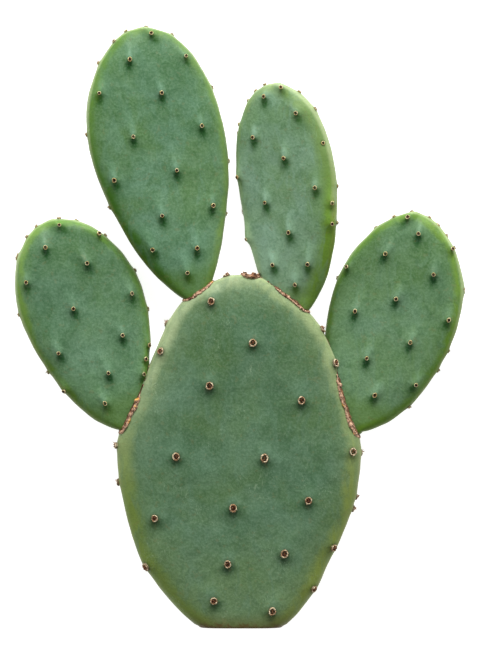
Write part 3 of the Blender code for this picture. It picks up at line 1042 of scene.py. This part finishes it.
class Shading:
    """A node material under construction, with short ways to add the nodes it needs."""

    def __init__(self, name, colour):
        self.material = bpy.data.materials.new(name)
        self.material.use_nodes = True
        self.tree = self.material.node_tree
        self.shader = self.tree.nodes["Principled BSDF"]
        self.place = self.node("TexCoord").outputs["Object"]
        self.colour = colour

    def feed(self, socket, value):
        """Links a socket to the one given, or sets it to the value given."""
        if isinstance(value, bpy.types.NodeSocket):
            self.tree.links.new(value, socket)
        else:
            socket.default_value = value

    def node(self, kind, inputs=None, **settings):
        made = self.tree.nodes.new("ShaderNode" + kind)
        for key, value in settings.items():
            setattr(made, key, value)
        for key, value in (inputs or {}).items():
            self.feed(made.inputs[key], value)
        return made

    def noise(self, size, detail=3.0, roughness=0.55, distortion=0.0, seed=0.0, stretch=(1.0, 1.0, 1.0)):
        """Noise whose features are about size metres across, spread over 0 to 1."""
        shift = {"Vector": self.place, "Location": (seed, seed, seed), "Scale": stretch}
        inputs = {"Scale": 1.0 / size, "Detail": detail, "Roughness": roughness, "Distortion": distortion}
        inputs["Vector"] = self.node("Mapping", shift).outputs[0]
        return self.ramp(self.node("TexNoise", inputs).outputs["Fac"], 0.3, 0.7)

    def attribute(self, name):
        return self.node("Attribute", attribute_name=name).outputs["Fac"]

    def ramp(self, value, low, high, to_low=0.0, to_high=1.0):
        inputs = {"Value": value, "From Min": low, "From Max": high, "To Min": to_low, "To Max": to_high}
        return self.node("MapRange", inputs, interpolation_type="SMOOTHSTEP").outputs["Result"]

    def maths(self, operation, a, b):
        return self.node("Math", {0: a, 1: b}, operation=operation).outputs[0]

    def times(self, a, b):
        return self.maths("MULTIPLY", a, b)

    def mix(self, share, first, second):
        made = self.node("Mix", data_type="RGBA")
        for i, value in ((0, share), (6, first), (7, second)):
            self.feed(made.inputs[i], (*value, 1.0) if isinstance(value, tuple) else value)
        return made.outputs[2]

    def coat(self, share, tint, amount=None):
        """Lays a tint over the colour so far, by this amount where share is 1."""
        if amount:
            share = self.times(share, amount)
        self.colour = self.mix(share, self.colour, tint)

    def bump(self, height, distance, strength, after=None):
        inputs = {"Height": height, "Distance": distance, "Strength": strength}
        if after:
            inputs["Normal"] = after
        return self.node("Bump", inputs).outputs["Normal"]

    def finish(self, worn, smooth, rough, normal, **fixed):
        """The material: worn, from 0 to 1, sets its roughness from smooth to rough."""
        inputs = {"Base Color": self.colour, "Roughness": self.ramp(worn, 0.0, 1.0, smooth, rough)}
        for key, value in {**inputs, "Normal": normal, **fixed}.items():
            self.feed(self.shader.inputs[key.replace("_", " ")], value)
        return self.material


class Palette(NamedTuple):
    """Linear colours of one pad's skin, and the width of its rim's colour in millimetres."""

    middle: tuple
    bloom: tuple  # waxy, bluish patches
    fresh: tuple  # yellower patches
    deep: tuple  # deep green: painted shade below areoles, where the skin is also bare of bloom, painted shade towards the tip, and darker mottling
    left_low: tuple  # the rims, near the joint and near the tip: yellow-green, with painted light and painted shade set per side and end
    left_high: tuple
    right_low: tuple
    right_high: tuple
    joint: tuple
    low: tuple  # the face near the joint, lighter: painted light
    left_width: float
    right_width: float


PALETTES = {
    "basal_pad": Palette(
        (0.054, 0.124, 0.060), (0.090, 0.176, 0.102), (0.074, 0.142, 0.040), (0.026, 0.076, 0.028),
        (0.130, 0.195, 0.030), (0.255, 0.325, 0.165), (0.165, 0.220, 0.040), (0.245, 0.315, 0.140),
        (0.095, 0.098, 0.018), (0.145, 0.235, 0.105), 9.5, 8.5,
    ),
    "pad_upper_left": Palette(
        (0.064, 0.148, 0.067), (0.104, 0.212, 0.130), (0.082, 0.168, 0.046), (0.008, 0.064, 0.008),
        (0.030, 0.110, 0.001), (0.066, 0.155, 0.010), (0.150, 0.255, 0.065), (0.100, 0.190, 0.036),
        (0.080, 0.165, 0.008), (0.095, 0.205, 0.105), 5.5, 5.0,
    ),
    "pad_upper_right": Palette(
        (0.128, 0.235, 0.138), (0.185, 0.310, 0.215), (0.125, 0.230, 0.080), (0.022, 0.096, 0.018),
        (0.240, 0.370, 0.200), (0.158, 0.245, 0.090), (0.130, 0.250, 0.020), (0.125, 0.210, 0.058),
        (0.120, 0.220, 0.030), (0.190, 0.310, 0.200), 5.0, 8.0,
    ),
    "pad_lower_left": Palette(
        (0.063, 0.144, 0.068), (0.100, 0.198, 0.112), (0.077, 0.162, 0.045), (0.008, 0.060, 0.010),
        (0.075, 0.155, 0.010), (0.120, 0.225, 0.036), (0.080, 0.170, 0.020), (0.110, 0.230, 0.036),
        (0.085, 0.165, 0.018), (0.105, 0.215, 0.095), 4.5, 4.5,
    ),
    "pad_lower_right": Palette(
        (0.076, 0.163, 0.076), (0.114, 0.214, 0.122), (0.090, 0.176, 0.050), (0.008, 0.062, 0.010),
        (0.048, 0.110, 0.004), (0.100, 0.205, 0.022), (0.082, 0.180, 0.008), (0.120, 0.225, 0.024),
        (0.085, 0.170, 0.014), (0.125, 0.235, 0.110), 5.0, 5.0,
    ),
}


def skin_material(name, palette, seed, joint_reach, joint_share, tip_shade, scuffs):
    """Waxy skin: patches of bloom over greener skin, speckle, fresher rims and worn marks, with painted shade
    and painted light round the areoles, along the pad and on the rims.
    """
    s = Shading(name, palette.middle)
    patches = s.noise(0.024, 3.0, 0.55, 0.8, seed)
    mottle = s.noise(0.0060, 4.0, 0.65, 0.8, seed + 3)
    speckle = s.noise(0.0016, 3.0, 0.6, 0.0, seed + 5)
    drift = s.noise(0.040, 2.0, 0.5, 0.5, seed + 9)
    veins = s.noise(0.011, 3.0, 0.6, 1.2, seed + 13, (1.0, 0.35, 1.0))
    station, painted_shade_and_light_share, inset = (s.attribute(key) for key in ("station", "painted_shade_and_light", "inset"))
    s.coat(patches, palette.bloom)
    s.coat(drift, palette.fresh, 0.65)
    # Painted light: the face lightened near the joint.
    s.coat(s.ramp(station, 0.38, 0.02), palette.low, 0.55)
    s.coat(s.ramp(veins, 0.5, 1.0), palette.bloom, 0.45)
    s.coat(s.ramp(mottle, 0.45, 1.0), palette.deep, 0.28)
    # Painted shade: the colour darkened towards the tip.
    tip = s.mix(0.28, s.colour, palette.deep)
    s.colour = s.mix(s.ramp(station, 1.0, 0.0, 0.0, tip_shade), tip, s.colour)
    # Painted shade below each areole, where the skin is also bare of bloom; above it a lighter ridge of bloom
    # that is partly painted light.
    s.coat(s.ramp(painted_shade_and_light_share, 0.03, 0.62), palette.deep)
    s.coat(s.ramp(painted_shade_and_light_share, -0.1, -0.7), palette.bloom, 0.65)
    s.coat(s.ramp(speckle, 0.3, 1.0), (0.50, 0.62, 0.48), 0.055)

    # The rims: a band with ragged edges, a faint haze of painted light and shade inside it, and all that
    # faces sideways. Their colours are yellow-green, with painted light and painted shade from the joint to
    # the tip on each side.
    rise = s.ramp(station, 0.30, 0.75)
    left = s.mix(rise, palette.left_low, palette.left_high)
    right = s.mix(rise, palette.right_low, palette.right_high)
    side = s.ramp(s.attribute("side"), -0.4, 0.4)
    width = s.ramp(side, 0.0, 1.0, palette.left_width, palette.right_width)
    ragged = s.maths("ADD", inset, s.times(s.maths("SUBTRACT", mottle, 0.5), 1.4))
    ragged = s.maths("ADD", ragged, s.times(s.maths("SUBTRACT", drift, 0.5), 0.5 * palette.left_width))
    widths_in = s.maths("DIVIDE", ragged, width)
    # Painted light and shade: the rim's colour carried faintly further in.
    painted_light_and_shade_haze = s.times(s.ramp(widths_in, 3.0, 0.0), 0.3)
    turned = s.ramp(s.maths("ADD", s.attribute("rim"), s.times(mottle, 0.12)), 0.3, 0.65)
    rim = s.maths("MAXIMUM", s.maths("MAXIMUM", s.ramp(widths_in, 1.6, 0.35), turned), painted_light_and_shade_haze)
    s.coat(s.times(rim, s.ramp(veins, 0.40, 1.0, 0.96, 0.62)), s.mix(side, left, right))
    # A thin line at the very edge: brown near the joint, and towards the tip pale, a painted highlight.
    edge = s.times(s.ramp(inset, 2.0, 0.4), s.ramp(station, 0.2, 0.9, 0.30, 0.45))
    s.coat(edge, s.mix(rise, (0.20, 0.19, 0.045), (0.42, 0.48, 0.26)))

    s.coat(s.ramp(station, joint_reach, 0.0), palette.joint, joint_share)
    # Painted shade: the skin darkened round each felt, where it sits in the skin.
    s.coat(s.attribute("foot"), (0.030, 0.042, 0.010), 0.75)
    if scuffs:  # skin that dried along the cut
        dried = s.ramp(s.maths("ADD", station, s.times(mottle, 0.014)), 0.022, 0.008)
        s.coat(dried, (0.090, 0.055, 0.016), 0.85)
    s.coat(s.ramp(speckle, 0.6, 0.0), (0.01, 0.03, 0.01), 0.10)
    if scuffs:  # and a few fine, pale scratches
        turn = {"Vector": s.place, "Scale": (330.0, 95.0, 330.0), "Rotation": (0.0, 0.0, 0.6)}
        lines = {"Vector": s.node("Mapping", turn).outputs[0], "Scale": 1.0, "Detail": 2.0, "Distortion": 1.2}
        middle = s.maths("SUBTRACT", s.node("TexNoise", lines).outputs["Fac"], 0.5)
        thin = s.ramp(s.maths("ABSOLUTE", middle, 0.0), 0.012, 0.0)
        rare = s.ramp(s.noise(0.024, 2.0, 0.5, 0.0, seed + 21), 0.55, 0.95)
        s.coat(s.times(thin, rare), (0.30, 0.40, 0.26), 0.40)
    freckles = s.ramp(s.noise(0.0042, 2.0, 0.5, 0.0, seed + 31), 0.94, 1.0)
    s.coat(freckles, (0.16, 0.14, 0.05), 0.18)
    gloss = s.maths("ADD", s.times(patches, 0.6), s.times(speckle, 0.4))
    normal = s.bump(speckle, 0.00005, 0.6, s.bump(mottle, 0.00022, 0.5))
    return s.finish(gloss, 0.40, 0.56, normal, Specular_IOR_Level=0.22)


def felt_material(name, wool, arcs, hollow, lip, seed):
    """Matted wool: tan with pale arcs round the ring, and dark in its hollow, inside the lip, with painted
    shade darkening the ring's outer foot.
    """
    s = Shading(name, wool)
    strands = s.noise(0.00045, 3.0, 0.7, 1.0, seed)
    tufts = s.noise(0.0021, 2.0, 0.5, 0.4, seed + 2)
    outward = s.attribute("outward")
    s.coat(s.ramp(tufts, 0.30, 0.75), arcs, 0.9)
    s.coat(strands, (0.20, 0.10, 0.035), 0.25)
    s.coat(s.ramp(outward, lip + 0.14, lip), hollow)
    # Painted shade: the outer foot of the ring darkened, where it meets the skin.
    s.coat(s.ramp(outward, 0.98, 1.04), (0.05, 0.028, 0.014), 0.75)
    normal = s.bump(strands, 0.00025, 0.9)
    return s.finish(strands, 0.8, 1.0, normal, Specular_IOR_Level=0.2, Sheen_Weight=0.15)


def glochid_material(name, foot, tip, seed):
    s = Shading(name, foot)
    grain = s.noise(0.0009, 2.0, 0.5, 0.0, seed)
    s.coat(s.ramp(s.attribute("tip"), 0.2, 1.0), tip)
    s.coat(grain, (0.22, 0.09, 0.035), 0.25)
    return s.finish(grain, 0.35, 0.6, s.bump(grain, 0.00008, 0.5))


def cork_material(name):
    """Dry cork: a near-black tone that also serves as painted shade in gaps, brown layers and pale torn lips,
    with painted shade darkening every crack.
    """
    s = Shading(name, (0.035, 0.014, 0.008))
    tone = s.attribute("tone")
    layers = s.noise(0.0024, 4.0, 0.65, 1.2)
    grain = s.noise(0.0006, 3.0, 0.7, 0.0, 4.0)
    ochre = s.ramp(s.noise(0.006, 2.0, 0.5, 0.0, 8.0), 0.86, 1.0)
    s.coat(s.ramp(tone, 0.15, 0.5), (0.24, 0.11, 0.055))
    s.coat(s.ramp(tone, 0.5, 0.85), (0.66, 0.42, 0.28))
    s.coat(layers, (0.30, 0.15, 0.07), 0.30)
    # Painted shade: cork darkened in its hollows and cracks.
    s.coat(s.ramp(s.attribute("crest"), 0.55, 0.1), (0.05, 0.02, 0.01), 0.7)
    s.coat(grain, (0.10, 0.045, 0.02), 0.25)
    s.coat(s.times(ochre, s.ramp(tone, 0.2, 0.6)), (0.70, 0.36, 0.07), 0.8)
    return s.finish(grain, 0.75, 0.95, s.bump(grain, 0.0002, 0.8), Specular_IOR_Level=0.25)


def callus_material(name):
    """Dried cut flesh: tan with darker fibres, and brown where it meets the skin."""
    s = Shading(name, (0.36, 0.25, 0.13))
    fibres = s.noise(0.0011, 4.0, 0.65, 0.5)
    s.coat(s.noise(0.008, 3.0, 0.55, 0.5, 3.0), (0.52, 0.42, 0.24))
    s.coat(fibres, (0.20, 0.115, 0.05), 0.55)
    s.coat(s.ramp(s.attribute("inward"), 0.45, 0.08), (0.13, 0.075, 0.03), 0.8)
    return s.finish(fibres, 0.7, 0.92, s.bump(fibres, 0.0004, 0.8), Specular_IOR_Level=0.3)


def dress(obj, material, slot, *nodes):
    """Gives a finished piece its material, the nodes it stands for and its body; slot is not used."""
    obj.data.materials.clear()
    obj.data.materials.append(material)
    if nodes:
        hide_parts(*nodes)
    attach(obj, "root")


# ---- Studio ----

CAMERA_HEIGHT = 2.0
FLOOR_REACH = 4.0
VIEW_HEIGHT = 649 * 0.69 * MM  # what the picture's height spans at the pads
SENSOR = 36.0
LIGHTS = (
    # place, size, power
    ((0.12, 1.50, 0.75), 0.8, 42.0),
    ((-1.10, 0.80, 0.50), 0.7, 8.0),
    ((1.10, 0.80, 0.50), 0.7, 5.0),
)


def build_studio():
    scene = bpy.context.scene
    scene.view_settings.view_transform = "Standard"
    corners = [(x * FLOOR_REACH, y * FLOOR_REACH, 0.0) for x, y in ((-1, -1), (1, -1), (1, 1), (-1, 1))]
    floor = object_from("floor", corners, [(0, 1, 2, 3)])
    floor.location.z = -0.3 * MM
    s = Shading("floor_paper", (0.60, 0.60, 0.60))
    grain = s.noise(0.002, 2.0, 0.5)
    s.coat(grain, (0.62, 0.62, 0.62))
    glow = {"Emission_Color": (1.0, 1.0, 1.0, 1.0), "Emission_Strength": 0.85}
    floor.data.materials.append(s.finish(grain, 0.85, 0.95, s.bump(grain, 0.00005, 0.2), **glow))

    world = bpy.data.worlds.new("studio")
    world.use_nodes = True
    nodes, links = world.node_tree.nodes, world.node_tree.links
    split = nodes.new("ShaderNodeSeparateXYZ")
    rise = nodes.new("ShaderNodeMapRange")
    rise.inputs["To Min"].default_value = 0.55
    rise.inputs["To Max"].default_value = 0.35
    links.new(nodes.new("ShaderNodeTexCoord").outputs["Generated"], split.inputs[0])
    links.new(split.outputs["Z"], rise.inputs["Value"])
    links.new(rise.outputs["Result"], nodes["Background"].inputs["Strength"])
    nodes["Background"].inputs["Color"].default_value = (1.0, 1.0, 1.0, 1.0)
    scene.world = world

    for i, (place, size, power) in enumerate(LIGHTS):
        light = bpy.data.lights.new(f"light_{i}", "AREA")
        light.size = size
        light.energy = power
        lamp = bpy.data.objects.new(f"light_{i}", light)
        scene.collection.objects.link(lamp)
        lamp.location = place
        lamp.rotation_euler = (-Vector(place)).to_track_quat("-Z", "Y").to_euler()

    camera = bpy.data.cameras.new("camera")
    camera.sensor_width = SENSOR
    camera.lens = SENSOR * (CAMERA_HEIGHT - MOTHER.half_thickness * MM) / VIEW_HEIGHT
    camera.clip_end = 20.0
    seat = bpy.data.objects.new("camera", camera)
    scene.collection.objects.link(seat)
    low, high = CAD_BOUNDS
    seat.location = ((low.x + high.x) / 2 + 0.9 * MM, (low.y + high.y) / 2 + 2.1 * MM, CAMERA_HEIGHT)
    scene.camera = seat


def main():
    root = root_of_plant()
    place = Matrix.Translation(root) @ TO_METRES
    tree = BVHTree.FromPolygons(*swollen_mother(place, 0.0))
    cutter = object_from("cutter", *swollen_mother(place, 0.15))

    mother, areoles = build_mother(place)
    look = skin_material("basal_skin_look", PALETTES["basal_pad"], 0.0, 0.055, 0.7, 2.5, True)
    dress(mother, look, "basal_skin", "basal_pad")
    felt, tufts = build_areoles("basal", areoles, place, OLD, random.Random(5))
    old = (0.34, 0.19, 0.085), (0.88, 0.76, 0.50), (0.12, 0.028, 0.012), 0.62
    dress(felt, felt_material("old_felt", *old, 0.0), "areole_felt", *areole_nodes())
    old = (0.12, 0.030, 0.014), (0.34, 0.15, 0.07)
    dress(tufts, glochid_material("old_glochids", *old, 0.0), "glochids")

    young = (0.62, 0.44, 0.15), (0.92, 0.82, 0.46), (0.035, 0.012, 0.005), 0.70
    young_felt = felt_material("young_felt", *young, 1.0)
    young = (0.05, 0.012, 0.005), (0.14, 0.05, 0.018)
    young_glochids = glochid_material("young_glochids", *young, 1.0)
    cork = cork_material("joint_cork")
    for seed, (name, pad) in enumerate(DAUGHTERS.items(), 2):
        pad_place = placement_of(name, pad, root)
        skin, areoles, seam = build_young(name, pad, pad_place, tree, cutter, seed)
        look = name.replace("pad", "skin_look"), PALETTES[name], 1.7 * seed, 0.085, 0.45, 1.4, False
        dress(skin, skin_material(*look), "young_skin", name)
        felt, tufts = build_areoles(name[4:], areoles, pad_place, YOUNG, random.Random(seed))
        dress(felt, young_felt, "areole_felt")
        dress(tufts, young_glochids, "glochids")
        across = (pad_place.to_3x3() @ Vector((1, 0, 0))).normalized()
        collar = build_collar(name, seam, across, tree, 20 * seed)
        dress(collar, cork, "cork", name.replace("pad", "cork"))
    bpy.data.objects.remove(cutter, do_unlink=True)

    dress(build_scar(tree, 7), cork, "cork", "fruit_scar")
    dress(build_callus(place, 3), callus_material("dried_cut"), "cut_callus")
    build_studio()


main()
